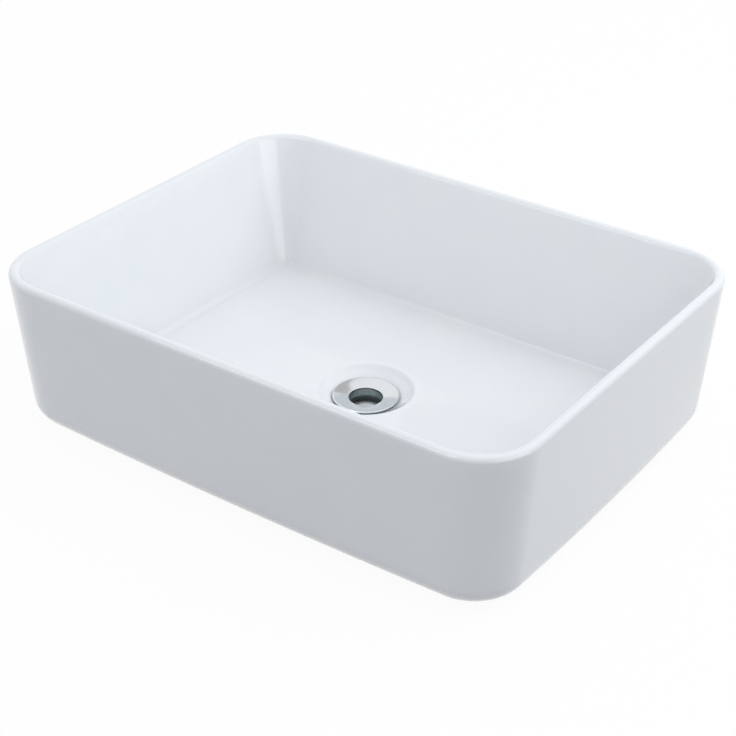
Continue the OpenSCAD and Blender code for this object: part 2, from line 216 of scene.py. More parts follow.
class FinishColours(PropertyGroup):
    """Colours of the finishes."""

    glaze: colour("Glaze", "Colour of the white glaze", (0.9, 0.915, 0.925))
    clay: colour("Bare clay", "Colour of the fired clay on the foot's ground ring", (0.72, 0.66, 0.57))
    chrome: colour("Chrome", "Colour of the chrome plate", (0.765, 0.785, 0.805))
    # The dull metal inside the pipe is unplated, and its darkness is also painted shade inside the pipe
    bore: colour("Bore", "Colour of the dull metal inside the waste and the tailpiece", (0.38, 0.46, 0.46))
    # Painted shade: this colour darkens the metal deeper down the throat, where shade falls
    painted_shade: colour("Painted shade", "Colour of that metal deeper down", (0.12, 0.13, 0.13))
    steel: colour("Steel", "Colour of the steel strainer", (0.93, 0.94, 0.96))
    black_rubber: colour("Black rubber", "Colour of the washer and the seal", (0.028, 0.028, 0.031))
    grey_rubber: colour("Grey rubber", "Colour of the gasket under the flange", (0.11, 0.11, 0.115))
    nylon: colour("Nylon", "Colour of the slip ring", (0.74, 0.73, 0.68))
    brass: colour("Brass", "Colour of the lock nut", (0.76, 0.58, 0.29))


class StudioSettings(PropertyGroup):
    """Camera, lamps and background."""

    azimuth: angle("Azimuth", "How far the camera stands to the right of the front", 35.374)
    elevation: angle("Elevation", "How far the camera stands above the horizon", 30.912)
    roll: angle("Roll", "Turn of the picture", 0.441)
    distance: length("Distance", "Distance from the camera to its target", 1.363785)
    target: height("Target height", "Height of the camera's target above the foot", 60 * MM)
    shift_right: height("Right", "How far the camera moves to its right", 1.552 * MM)
    shift_up: height("Up", "How far the camera moves upwards", -11.159 * MM)
    lens: FloatProperty(name="Lens", description="Focal length in millimetres", default=81.816, min=1.0)
    key: power("Key", "Strength of the large soft lamp at the back right", 9.1)
    card: power("Card", "Strength of the low card in front that lifts the front wall", 1.1)
    strip: power("Strip", "Strength of the long panel in front that only shows in the gloss", 2.8)
    side: power("Side panel", "Strength of the panel on the right that only shows in the gloss", 5.2)
    room: share("Room", "Light from the white room all round", 0.785, 2.0)
    grey: share("Grey card", "How light the grey card is that the metal reflects", 0.55)
    tint: colour("Tint", "Colour of the lamps and of the room's light", (0.94, 0.964, 1.0))
    bounce: share("Bounce", "How much light the floor sends back", 0.31)
    veil: share("White floor", "Share of plain white in the floor that the camera sees", 0.94)


def mix(a, b, part):
    """The value at a part of the way from a to b."""
    return a + (b - a) * part


def parts(count, first=0):
    """Even parts of a way, from first / count to 1."""
    return [k / count for k in range(first, count + 1)]


def rounding(steps, first=0):
    """Shares of a quarter rounding's inward and upward reach at even turns, from (0, 1) to (1, 0)."""
    turns = [QUARTER * part for part in parts(steps, first)]
    return [(1 - math.cos(turn), 1 - math.sin(turn)) for turn in turns]


def outline(half_length, half_width, radius):
    """Points of a rounded rectangle, each with the part of its outward direction that lies along X."""
    points = []
    for quarter in range(4):
        centre_x = (half_length - radius) * (1 if quarter in (0, 3) else -1)
        centre_y = (half_width - radius) * (1 if quarter in (0, 1) else -1)
        for part in parts(CORNER_STEPS):
            turn = QUARTER * (quarter + part)
            across, along = math.cos(turn), math.sin(turn)
            points.append((centre_x + radius * across, centre_y + radius * along, across**2))
        is_long = quarter % 2 == 0
        run = 2 * ((half_length if is_long else half_width) - radius)
        x, y, end_part = points[-1]
        for part in parts(LONG_STEPS if is_long else SHORT_STEPS)[1:-1]:
            points.append((x - run * part * along, y + run * part * across, end_part))
    return points


def round_point(radius, turn, level):
    """A point at a radius, a turn round the Z axis and a height."""
    return Vector((radius * math.cos(turn), radius * math.sin(turn), level))


def circle(radius, level):
    """A level circle with as many points as an outline, lined up with it."""
    count = 4 * (CORNER_STEPS + 1) + 2 * (LONG_STEPS - 1) + 2 * (SHORT_STEPS - 1)
    middle = CORNER_STEPS + LONG_STEPS / 2
    return [round_point(radius, QUARTER + TURN * (k - middle) / count, level) for k in range(count)]


def between(one, other, part):
    """A section at a part of the way from one section to another."""
    return [a.lerp(b, part) for a, b in zip(one, other)]


def softened(profile, radius, steps=BEVEL_STEPS):
    """An outline of (radius, height) points whose inner points are rounded off."""
    soft = [profile[0]]
    for before, point, after in zip(profile, profile[1:], profile[2:]):
        corner, back, on = Vector(point), Vector(before), Vector(after)
        reach = min(radius, (back - corner).length / 2, (on - corner).length / 2)
        start = corner + (back - corner).normalized() * reach
        end = corner + (on - corner).normalized() * reach
        for part in parts(steps):
            soft.append(tuple(start.lerp(corner, part).lerp(corner.lerp(end, part), part)))
    return [*soft, profile[-1]]


def under_flange(waste, radius):
    """Height of the waste flange's underside at a radius."""
    slope = waste.flange_dish / (waste.flange - waste.flange_edge - waste.throat)
    throat_level = waste.flange_top - waste.flange_dish
    return throat_level - waste.flange_thick + slope * (radius - waste.throat)


class Shell:
    """Sections of the ceramic, by the same rules as the CAD solid."""

    least_corner = 3 * MM
    foot_edge = 1 * MM

    def __init__(self, sizes, waste):
        self.s = sizes
        self.waste = waste
        self.shoulder = sizes.height - sizes.rim_round
        self.rim_inner = sizes.rim_width - sizes.rim_round
        self.eye = sizes.recess + sizes.floor_land
        self.eye_level = sizes.floor - sizes.floor_fall
        self.belly = self.eye_level - sizes.bowl_wall
        self.hidden_foot = sizes.foot_in + sizes.foot_land

    def section(self, insets, heights, radius, bows=(0.0, 0.0)):
        """One section: insets, heights and bows are pairs, for the end walls and for the long walls."""
        half_length = self.s.length / 2 - insets[0]
        half_width = self.s.width / 2 - insets[1]
        points = []
        for x, y, end_part in outline(half_length, half_width, max(radius, self.least_corner)):
            bowed_x = x * (1 - bows[0] / half_length * (y / half_width) ** 2)
            bowed_y = y * (1 - bows[1] / half_width * (x / half_length) ** 2)
            points.append(Vector((bowed_x, bowed_y, mix(heights[1], heights[0], end_part))))
        return points

    def level_section(self, insets, level, radius, bow=0.0):
        """A section at one height, bowed alike on all sides."""
        return self.section(insets, (level, level), radius, (bow, bow))

    def wall_section(self, part, level, drawn=0.0):
        """A section of the outer walls at a part of their height, or of their hidden face behind it."""
        s = self.s
        insets = mix(s.end_draft, 0, part) + drawn, mix(s.side_draft, 0, part) + drawn
        radius = mix(s.foot_corner, s.rim_corner, part) - drawn
        return self.level_section(insets, level, radius, mix(s.foot_bow, 0, part))

    def foot_section(self, reach, level):
        """A section of the foot, drawn in by a reach from where the walls meet the rounding."""
        s = self.s
        radius = s.foot_corner - s.corner_share * reach
        return self.level_section((s.end_draft + reach, s.side_draft + reach), level, radius, s.foot_bow)

    def wall_level(self, part):
        """Height of the outer walls at a part of their height."""
        return mix(self.s.foot_up, self.shoulder, part)

    def tilt(self, inset):
        """Tilt from the vertical of a bowl wall that meets the floor at an inset."""
        run = Vector((inset - self.rim_inner, self.s.floor - self.shoulder))
        return math.atan2(run.y, run.x) + math.acos(self.s.rim_round / run.length)

    def rim_point(self, inset, part):
        """Inset and height on the rim's inner rounding, from its top down to the wall."""
        turn = mix(QUARTER, self.tilt(inset), part)
        radius = self.s.rim_round
        return self.rim_inner + radius * math.cos(turn), self.shoulder + radius * math.sin(turn)

    def fillet_point(self, inset, fillet, part, drawn=0.0):
        """Inset and height on a floor fillet, from the wall to the floor, drawn back by a thickness."""
        tilt = self.tilt(inset)
        turn = mix(tilt, QUARTER, part)
        radius = fillet + drawn
        level = self.s.floor + fillet
        rise = level - self.shoulder
        centre = self.rim_inner + (self.s.rim_round + fillet - rise * math.sin(tilt)) / math.cos(tilt)
        return centre - radius * math.cos(turn), level - radius * math.sin(turn)

    def back_inset(self, inset, level):
        """Inset of the bowl wall's hidden face at a height."""
        tilt = self.tilt(inset)
        return inset - (level - self.s.floor) * math.tan(tilt) - self.s.bowl_wall / math.cos(tilt)

    def outside(self):
        """Sections from the foot ring up to the rim's top."""
        s = self.s
        foot = reversed(rounding(ROUND_STEPS))
        made = [self.foot_section(s.foot_in * on, s.foot_up * up) for on, up in foot]
        made += [self.wall_section(part, self.wall_level(part)) for part in parts(WALL_STEPS, 1)[:-1]]
        for on, up in rounding(ROUND_STEPS):
            inset = s.rim_round * on
            made.append(self.level_section((inset, inset), s.height - s.rim_round * up, s.rim_corner - inset))
        return made

    def bowl(self):
        """Sections from the rim's top down to the level floor round the waste."""
        s = self.s
        made = []
        for part in parts(ROUND_STEPS):
            end, side = self.rim_point(s.end_inset, part), self.rim_point(s.side_inset, part)
            made.append(self.section(*zip(end, side), s.rim_corner - (end[0] + side[0]) / 2))
        foot_end = self.fillet_point(s.end_inset, s.end_fillet, 0)
        foot_side = self.fillet_point(s.side_inset, s.side_fillet, 0)
        for part in parts(WALL_STEPS, 1)[:-1]:
            insets = mix(end[0], foot_end[0], part), mix(side[0], foot_side[0], part)
            levels = mix(end[1], foot_end[1], part), mix(side[1], foot_side[1], part)
            radius = mix(s.rim_corner - s.rim_width, s.bowl_corner, part)
            made.append(self.section(insets, levels, radius, (s.bowl_bow * part, 0)))
        made += [self.fillet_section(part) for part in parts(ROUND_STEPS)]
        eye = circle(self.eye, self.eye_level)
        made += [between(made[-1], eye, part) for part in parts(WALL_STEPS, 1)]
        return made

    def fillet_section(self, part, drawn=0.0):
        """A section of the floor fillet, or of the bowl's back behind it."""
        s = self.s
        end = self.fillet_point(s.end_inset, s.end_fillet, part, drawn)
        side = self.fillet_point(s.side_inset, s.side_fillet, part, drawn)
        start = self.fillet_point(s.end_inset, s.end_fillet, 0, drawn)
        radius = s.bowl_corner + drawn / 2 - s.corner_share * (end[0] - start[0])
        return self.section(*zip(end, side), radius, (s.bowl_bow, 0))

    def lip_level(self, part):
        """Height of the recess's lip: level at the floor, and as steep as the slope below at its foot."""
        s, w = self.s, self.waste
        seat = under_flange(w, w.flange) - w.gasket
        slope = (self.eye_level - s.lip_fall - seat) / (s.recess - s.lip - w.flange)
        fall = s.lip_fall * (3 - 2 * part) - slope * s.lip * (1 - part)
        return self.eye_level - fall * part * part

    def drain(self):
        """Sections of the recess, the gasket's seat, the hole and the thickened ring round it."""
        s, w = self.s, self.waste
        lip = [(s.recess - s.lip * part, self.lip_level(part)) for part in parts(ROUND_STEPS)]
        profile = [
            lip[-1],
            (w.flange, under_flange(w, w.flange) - w.gasket),
            (s.hole, under_flange(w, s.hole) - w.gasket),
            (s.hole, s.boss_height),
            (s.boss, s.boss_height),
            (s.boss, self.belly),
            (s.boss + s.boss_land, self.belly),
        ]
        return [circle(*point) for point in lip + softened(profile, self.foot_edge)[1:]]

    def underside(self):
        """Sections of the hollow: the bowl's back, over the crown and down inside the outer walls."""
        s = self.s
        back = [self.fillet_section(part, s.bowl_wall) for part in reversed(parts(HIDDEN_STEPS))]
        boss = circle(s.boss + s.boss_land, self.belly)
        made = [between(boss, back[0], part) for part in parts(HIDDEN_STEPS, 1)[:-1]] + back
        crown_part = (s.crown - s.foot_up) / (self.shoulder - s.foot_up)
        skirt = [mix(draft, 0, crown_part) + s.skirt for draft in (s.end_draft, s.side_draft)]
        behind = self.back_inset(s.end_inset, s.crown), self.back_inset(s.side_inset, s.crown)
        rise = min(behind[0] - skirt[0], behind[1] - skirt[1]) / 2
        wall_corner = mix(s.foot_corner, s.rim_corner, crown_part)
        radius = (wall_corner - s.skirt + s.bowl_corner + s.bowl_wall) / 2
        for part in parts(HIDDEN_STEPS):
            over = (1 + math.cos(math.pi * part)) / 2
            insets = mix(skirt[0], behind[0], over), mix(skirt[1], behind[1], over)
            made.append(self.level_section(insets, s.crown + rise * math.sin(math.pi * part), radius))
        for part in reversed(parts(HIDDEN_STEPS)[:-1]):
            level = self.wall_level(crown_part * part) + s.skirt / 2 * (1 - part)
            made.append(self.wall_section(crown_part * part, level, s.skirt))
        for on, up in rounding(ROUND_STEPS, 1):
            made.append(self.foot_section(mix(s.skirt, self.hidden_foot, on), s.skirt / 2 + s.foot_up * up))
        for on, up in rounding(BEVEL_STEPS):
            made.append(self.foot_section(self.hidden_foot - self.foot_edge * on, self.foot_edge * up))
        return made

    def sections(self):
        """All sections, once round the ceramic, with the last joined to the first."""
        return self.outside() + self.bowl()[1:] + self.drain() + self.underside()


def fresh_verts(made):
    """The vertices among what an operator made."""
    return [item for item in made if isinstance(item, bmesh.types.BMVert)]


def placed(loop, points):
    """Move a loop of vertices to points in the same order."""
    for vert, point in zip(loop, points):
        vert.co = point
    return loop


def extruded(bm, loop):
    """Extrude a closed loop of vertices and give the new loop in the same order."""
    edges = [bm.edges.get(pair) for pair in zip(loop, loop[1:] + loop[:1])]
    fresh = set(fresh_verts(bmesh.ops.extrude_edge_only(bm, edges=edges)["geom"]))
    return [next(e.other_vert(v) for e in v.link_edges if e.other_vert(v) in fresh) for v in loop]


def lofted(sections):
    """A closed tube through sections of equal length, the last one joined to the first."""
    bm = bmesh.new()
    first = bmesh.ops.create_circle(bm, segments=len(sections[0]), radius=1.0)["verts"]
    loop = placed(first, sections[0])
    for section in [*sections[1:], sections[0]]:
        loop = placed(extruded(bm, loop), section)
    bmesh.ops.remove_doubles(bm, verts=first + loop, dist=MM * MM)
    bmesh.ops.recalc_face_normals(bm, faces=bm.faces)
    return bm


def profiled(profile, bevel):
    """A closed outline of (radius, height) points in the XZ plane, with its corners rounded."""
    bm = bmesh.new()
    verts = [bm.verts.new((radius, 0.0, level)) for radius, level in profile]
    edges = [bm.edges.new(pair) for pair in zip(verts, verts[1:] + verts[:1])]
    bmesh.ops.bevel(
        bm,
        geom=verts + edges,
        offset=bevel,
        offset_type="OFFSET",
        segments=BEVEL_STEPS,
        profile=0.5,
        affect="VERTICES",
        material=-1,
        clamp_overlap=True,
    )
    bmesh.ops.remove_doubles(bm, verts=bm.verts, dist=FINE)
    return bm


def spun(bm):
    """Spin an outline in the XZ plane all the way round the Z axis."""
    bmesh.ops.spin(
        bm,
        geom=bm.verts[:] + bm.edges[:],
        cent=(0, 0, 0),
        axis=(0, 0, 1),
        angle=TURN,
        steps=TURNED_STEPS,
        use_merge=True,
    )
    bmesh.ops.recalc_face_normals(bm, faces=bm.faces)
    return bm


def turned(profile, bevel):
    """A solid turned round the Z axis from a closed outline of (radius, height) points."""
    return spun(profiled(profile, bevel))


def tube(inner, outer, low, high):
    """The outline of a plain ring or tube."""
    return [(inner, low), (outer, low), (outer, high), (inner, high)]


def screwed(profile, bevel, crest, pitch, depth, low, high):
    """A turned solid, with a thread pressed in where it has its crest radius between two heights."""
    bm = profiled(profile, bevel)
    screw = [edge for edge in bm.edges if all(abs(vert.co.x - crest) < FINE for vert in edge.verts)]
    cuts = int(sum(edge.calc_length() for edge in screw) / pitch * THREAD_STEPS)
    bmesh.ops.subdivide_edges(bm, edges=screw, cuts=cuts)
    for vert in spun(bm).verts:
        if abs(vert.co.xy.length - crest) > FINE or not low <= vert.co.z <= high:
            continue
        turn = math.atan2(vert.co.y, vert.co.x)
        wave = (1 - math.cos(TURN * vert.co.z / pitch - turn)) / 2
        fade = min(1.0, (vert.co.z - low) / pitch, (high - vert.co.z) / pitch)
        vert.co.xy *= (crest - depth * wave * fade) / crest
    return bm


def made_object(bm, name, material):
    """An object with one material, made from a finished mesh."""
    mesh = bpy.data.meshes.new(name)
    bm.to_mesh(mesh)
    bm.free()
    mesh.materials.append(material)
    made = bpy.data.objects.new(name, mesh)
    bpy.context.scene.collection.objects.link(made)
    return made


def piece(bm, name, node, material, sharp=35.0):
    """Turn a finished mesh into the piece that stands for a CAD node."""
    for face in bm.faces:
        face.smooth = True
    for edge in bm.edges:
        edge.smooth = edge.calc_face_angle(0.0) < math.radians(sharp)
    made = made_object(bm, name, material)
    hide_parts(node)
    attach(made, BODY)
    return made


def feed(tree, socket, value):
    """Join an output to an input, or set the input's own value."""
    if isinstance(value, bpy.types.NodeSocket):
        tree.links.new(value, socket)
    else:
        socket.default_value = value


def add(tree, kind, label="", inputs=(), **settings):
    """Add a node, right of what feeds it. Inputs go by name or number, with a value or an output to join."""
    node = tree.nodes.new(kind)
    node.label = label
    for name, value in settings.items():
        setattr(node, name, value)
    for name, value in dict(inputs).items():
        feed(tree, node.inputs[name], value)
    sources = [link.from_node.location.x for socket in node.inputs for link in socket.links]
    column = max(sources, default=-COLUMN) + COLUMN
    above = sum(other.location.x == column for other in tree.nodes if other != node)
    node.location = column, -ROW * above
    return node


def noise(tree, label, vector, scale, detail, roughness=0.5, distortion=0.0):
    """An uneven pattern from 0 to 1."""
    inputs = {"Vector": vector, "Scale": scale, "Detail": detail, "Roughness": roughness}
    return add(tree, "ShaderNodeTexNoise", label, {**inputs, "Distortion": distortion}).outputs[0]


def ramp(tree, label, value, start=0.0, end=1.0, low=0.0, high=1.0, smooth=False):
    """A value that goes from low to high while another one goes from start to end."""
    inputs = {"Value": value, "From Min": start, "From Max": end, "To Min": low, "To Max": high}
    kind = "SMOOTHSTEP" if smooth else "LINEAR"
    return add(tree, "ShaderNodeMapRange", label, inputs, interpolation_type=kind).outputs[0]


def blend(tree, label, factor, one, other):
    """One colour where the factor is 0, and the other where it is 1."""
    return add(tree, "ShaderNodeMix", label, {0: factor, 6: one, 7: other}, data_type="RGBA").outputs[2]


def shift(tree, label, factor, one, other):
    """One value where the factor is 0, and the other where it is 1."""
    return add(tree, "ShaderNodeMix", label, {0: factor, 2: one, 3: other}, data_type="FLOAT").outputs[0]


def reckon(tree, label, operation, *values):
    """Work out a number from others."""
    return add(tree, "ShaderNodeMath", label, enumerate(values), operation=operation).outputs[0]


def either_shader(tree, label, factor, one, other):
    """One shader where the factor is 0, and the other where it is 1."""
    return add(tree, "ShaderNodeMixShader", label, {0: factor, 1: one, 2: other}).outputs[0]


def rgba(values, part=1.0):
    """A colour with full alpha, darkened or lightened by one part, or by one for red, green and blue each."""
    by = part if isinstance(part, tuple) else (part,) * 3
    return (*(value * one for value, one in zip(values, by)), 1.0)


def new_group(name, inputs, outputs):
    """A node group with its named inputs and outputs, and what its inputs give."""
    group = bpy.data.node_groups.new(name, "ShaderNodeTree")
    group.interface.new_socket("Vector", in_out="INPUT", socket_type="NodeSocketVector")
    for title, value in inputs.items():
        socket = group.interface.new_socket(title, in_out="INPUT", socket_type="NodeSocketFloat")
        socket.default_value = value
    for title in outputs:
        group.interface.new_socket(title, in_out="OUTPUT", socket_type="NodeSocketFloat")
    return group, add(group, "NodeGroupInput").outputs


def soft_surface(name):
    """Slow waves and fine grain of a cast or moulded surface: a height for bumps and a mask for its tone."""
    inputs = {"Wave Scale": 20.0, "Grain Scale": 900.0, "Grain Share": 0.1}
    group, given = new_group(name, inputs, ("Height", "Tone"))
    waves = noise(group, "Slow waves", given["Vector"], given["Wave Scale"], detail=2.0, roughness=0.4)
    grain = noise(group, "Fine grain", given["Vector"], given["Grain Scale"], detail=3.0, roughness=0.6)
    relief = shift(group, "Waves and grain", given["Grain Share"], waves, grain)
    tone = ramp(group, "Tone", waves, start=0.35, end=0.65, smooth=True)
    add(group, "NodeGroupOutput", "", {"Height": relief, "Tone": tone})
    return group


def handled_metal(name):
    """Wiping marks and fine scratches of a handled metal: a roughness and a height for bumps."""
    inputs = {"Smudge Scale": 60.0, "Scratch Scale": 700.0, "Finest": 0.05, "Dullest": 0.15}
    group, given = new_group(name, inputs, ("Roughness", "Height"))
    stretch = {"Vector": given["Vector"], "Scale": (1.0, 1.0, 0.06)}
    drawn = add(group, "ShaderNodeMapping", "Drawn out along Z", stretch).outputs[0]
    marks = noise(group, "Wiping marks", given["Vector"], given["Smudge Scale"], detail=4.0, distortion=0.6)
    scratches = noise(group, "Fine scratches", drawn, given["Scratch Scale"], detail=2.0)
    both = shift(group, "Marks and scratches", factor=0.3, one=marks, other=scratches)
    rough = ramp(group, "Roughness", both, start=0.3, end=0.7, low=given["Finest"], high=given["Dullest"])
    add(group, "NodeGroupOutput", "", {"Roughness": rough, "Height": scratches})
    return group


SHARED_EFFECTS = {"Soft Surface": soft_surface, "Handled Metal": handled_metal}


def effect(tree, name, vector, **values):
    """Place a shared group, made once, with values of its own, and give its outputs."""
    group = bpy.data.node_groups.get(name) or SHARED_EFFECTS[name](name)
    inputs = {title.replace("_", " ").title(): value for title, value in values.items()}
    return add(tree, "ShaderNodeGroup", name, {"Vector": vector, **inputs}, node_tree=group).outputs


def empty_tree(owner):
    """The node tree of a material or world, with nothing in it."""
    owner.use_nodes = True
    owner.node_tree.nodes.clear()
    return owner.node_tree


def new_material(name):
    """An empty material, its node tree and the object's coordinates."""
    material = bpy.data.materials.new(name)
    tree = empty_tree(material)
    return material, tree, add(tree, "ShaderNodeTexCoord").outputs["Object"]


def finished(material, colour_output, roughness, relief, depth, **values):
    """Join a colour, a roughness and a height for the bump to the shader, and set its other inputs."""
    tree = material.node_tree
    bump = add(tree, "ShaderNodeBump", "Relief", {"Height": relief, "Distance": depth, "Strength": 1.0})
    inputs = {"Base Color": colour_output, "Roughness": roughness, "Normal": bump.outputs[0]}
    inputs |= {name.replace("_", " "): value for name, value in values.items()}
    shader = add(tree, "ShaderNodeBsdfPrincipled", "", inputs)
    add(tree, "ShaderNodeOutputMaterial", "", {"Surface": shader.outputs[0]})
    return material


def glazed_ceramic(colours):
    """White glaze with slow waves and a soft sheen, bare rough clay on the ground foot ring."""
    material, tree, place = new_material("White glaze")
    surface = effect(tree, "Soft Surface", place, wave_scale=22.0, grain_scale=1400.0, grain_share=0.05)
    level = add(tree, "ShaderNodeSeparateXYZ", "", {0: place}).outputs["Z"]
    edge = noise(tree, "Ragged glaze line", place, scale=300.0, detail=3.0)
    raggedness = -0.9 * MM
    ragged = reckon(tree, "Ragged height", "MULTIPLY_ADD", edge, raggedness, level)
    glazed = ramp(tree, "Glazed above the foot ring", ragged, end=0.15 * MM)
    thick, thin = rgba(colours.glaze), rgba(colours.glaze, part=(0.985, 0.99, 1.0))
    glaze = blend(tree, "Thicker and thinner glaze", surface["Tone"], thick, thin)
    grain = noise(tree, "Clay grain", place, scale=1800.0, detail=5.0)
    clay = blend(tree, "Bare clay", grain, rgba(colours.clay, part=0.86), rgba(colours.clay))
    base = blend(tree, "Clay or glaze", glazed, clay, glaze)
    sheen = ramp(tree, "Roughness of clay and glaze", glazed, low=0.9, high=0.2)
    drift = 0.05
    uneven = reckon(tree, "Uneven sheen", "MULTIPLY_ADD", surface["Tone"], drift, sheen)
    relief = shift(tree, "Clay grain or glaze waves", glazed, grain, surface["Height"])
    coat = {"Coat_Weight": glazed, "Coat_Roughness": 0.04, "Coat_IOR": 1.5, "Specular_IOR_Level": 0.2}
    return finished(material, base, uneven, relief, depth=0.06 * MM, **coat)


def polished(tree, place, tint, finest, dullest, scratch_scale):
    """Tone, roughness and height of a metal with wiping marks, fine scratches and a drift in its tone."""
    values = {"scratch_scale": scratch_scale, "finest": finest, "dullest": dullest}
    wear = effect(tree, "Handled Metal", place, **values)
    spots = noise(tree, "Faint tone", place, scale=35.0, detail=2.0)
    tone = blend(tree, "Tone of the metal", spots, rgba(tint, part=0.95), rgba(tint))
    return tone, wear["Roughness"], wear["Height"]


def steel(colours):
    """Satin steel with wiping marks and fine scratches."""
    material, tree, place = new_material("Polished steel")
    looks = polished(tree, place, colours.steel, finest=0.4, dullest=0.5, scratch_scale=1200.0)
    return finished(material, *looks, depth=0.004 * MM, Metallic=1.0)


def plated(name, colours, waste, tail):
    """Chrome plate, with dull, limed metal in the pipe whose darkness is partly its own and partly painted
    shade, painted shade deeper down, and a fine line of painted shade under the flange's edge.
    """
    material, tree, place = new_material(name)
    values = {"finest": 0.1, "dullest": 0.18, "scratch_scale": 900.0}
    tone, rough, relief = polished(tree, place, colours.chrome, **values)
    level = add(tree, "ShaderNodeSeparateXYZ", "", {0: place}).outputs["Z"]
    both = {0: place, 1: (1.0, 1.0, 0.0)}
    flat = add(tree, "ShaderNodeVectorMath", "Level place", both, operation="MULTIPLY").outputs[0]
    radius = add(tree, "ShaderNodeVectorMath", "Radius", {0: flat}, operation="LENGTH").outputs["Value"]
    throat, edge, top = waste.flange_top - waste.flange_dish, waste.flange, waste.flange_top
    inside = {"start": mix(waste.socket, tail, part=0.8), "end": mix(waste.socket, tail, part=0.2)}
    # Inside the pipe the metal is dull and darker: unplated metal, and also painted shade inside the pipe
    within = ramp(tree, "Inside the pipe", radius, **inside)
    deep = ramp(tree, "Below the throat's edge", level, start=throat - 0.5 * MM, end=throat - 3 * MM)
    # Painted shade: a dull, dark band on the flange's outer edge below its top stands in for the shadow in
    # the gap under the edge
    outer = ramp(tree, "Outer edge of the flange", radius, start=edge - 0.3 * MM, end=edge - 0.1 * MM)
    beneath = ramp(tree, "Below the flange's top", level, start=top - 0.35 * MM, end=top - 0.7 * MM)
    unplated = reckon(tree, "Unplated", "MULTIPLY", within, deep)
    line = reckon(tree, "Painted shade line under the edge", "MULTIPLY", outer, beneath)
    # Bare joins the unplated metal in the pipe and the painted shade line under the flange's edge
    bare = reckon(tree, "Bare", "MAXIMUM", unplated, line)
    lime = noise(tree, "Lime", place, scale=260.0, detail=4.0, roughness=0.6)
    darker, paler = rgba(colours.bore, part=0.5), rgba(colours.bore, part=1.5)
    dull = blend(tree, "Dull metal with lime", lime, darker, paler)
    # Painted shade: the metal turns to the painted shade colour deeper down the throat
    low = ramp(tree, "Where the dirt begins", level, start=throat - 6 * MM, end=throat - 8.5 * MM)
    deep_shaded = blend(tree, "Dirt deeper down", low, dull, rgba(colours.painted_shade))
    base = blend(tree, "Plate or bare metal", bare, tone, deep_shaded)
    sheen = shift(tree, "Sheen of plate or bare metal", bare, one=rough, other=0.55)
    return finished(material, base, sheen, relief, depth=0.002 * MM, Metallic=1.0)


def turned_brass(colours):
    """Unplated brass with the rings that the cutting tool leaves, dulled in patches."""
    material, tree, place = new_material("Turned brass")
    wear = effect(tree, "Handled Metal", place, smudge_scale=90.0, finest=0.2, dullest=0.38)
    inputs = {"Vector": place, "Scale": 420.0, "Distortion": 0.4, "Detail": 2.0}
    settings = {"wave_type": "RINGS", "rings_direction": "Z"}
    rings = add(tree, "ShaderNodeTexWave", "Tool rings", inputs, **settings).outputs["Fac"]
    patches = noise(tree, "Tarnish", place, scale=110.0, detail=4.0, roughness=0.6)
    tarnished = rgba(colours.brass, part=(0.72, 0.68, 0.6))
    tone = blend(tree, "Tarnished in patches", patches, tarnished, rgba(colours.brass))
    return finished(material, tone, wear["Roughness"], rings, depth=0.012 * MM, Metallic=1.0)


def moulded(name, tint, pale, sheen, grain_scale, relief, soft=0.0):
    """Rubber or nylon: fine grain, a tone that drifts towards a paler bloom, and an uneven sheen."""
    material, tree, place = new_material(name)
    surface = effect(tree, "Soft Surface", place, wave_scale=90.0, grain_scale=grain_scale, grain_share=0.6)
    bloom = rgba(mix(value, 1.0, pale) for value in tint)
    tone = blend(tree, "Bloom", surface["Tone"], rgba(tint), bloom)
    drift = 0.12
    uneven = ramp(tree, "Uneven sheen", surface["Tone"], low=sheen, high=sheen + drift)
    under = {"Subsurface_Weight": soft, "Subsurface_Scale": 1 * MM}
    return finished(material, tone, uneven, surface["Height"], relief, **under)


def once(name, maker, *colours_and_sizes, **values):
    """A material that more than one piece has, made by its maker for the first of them."""
    return bpy.data.materials.get(name) or maker(name, *colours_and_sizes, **values)


def chrome(scene):
    """The chrome plate of the waste body and the tailpiece."""
    sizes = scene.basin_waste, scene.basin_clamp.tail
    return once("Chrome plate", plated, scene.basin_finish, *sizes)


def black_rubber(scene):
    """The black rubber of the washer and the tailpiece's seal."""
    looks = {"pale": 0.035, "sheen": 0.55, "grain_scale": 2200.0, "relief": 0.03 * MM}
    return once("Black rubber", moulded, scene.basin_finish.black_rubber, **looks)


class MakeShell(Operator):
    """Make the glazed ceramic basin as one closed skin"""

    bl_idname = "basin.make_shell"
    bl_label = "Ceramic basin"

    def execute(self, context):
        scene = context.scene
        bm = lofted(Shell(scene.basin_shell, scene.basin_waste).sections())
        piece(bm, "glazed_basin", "basin", glazed_ceramic(scene.basin_finish), sharp=60.0)
        return {"FINISHED"}


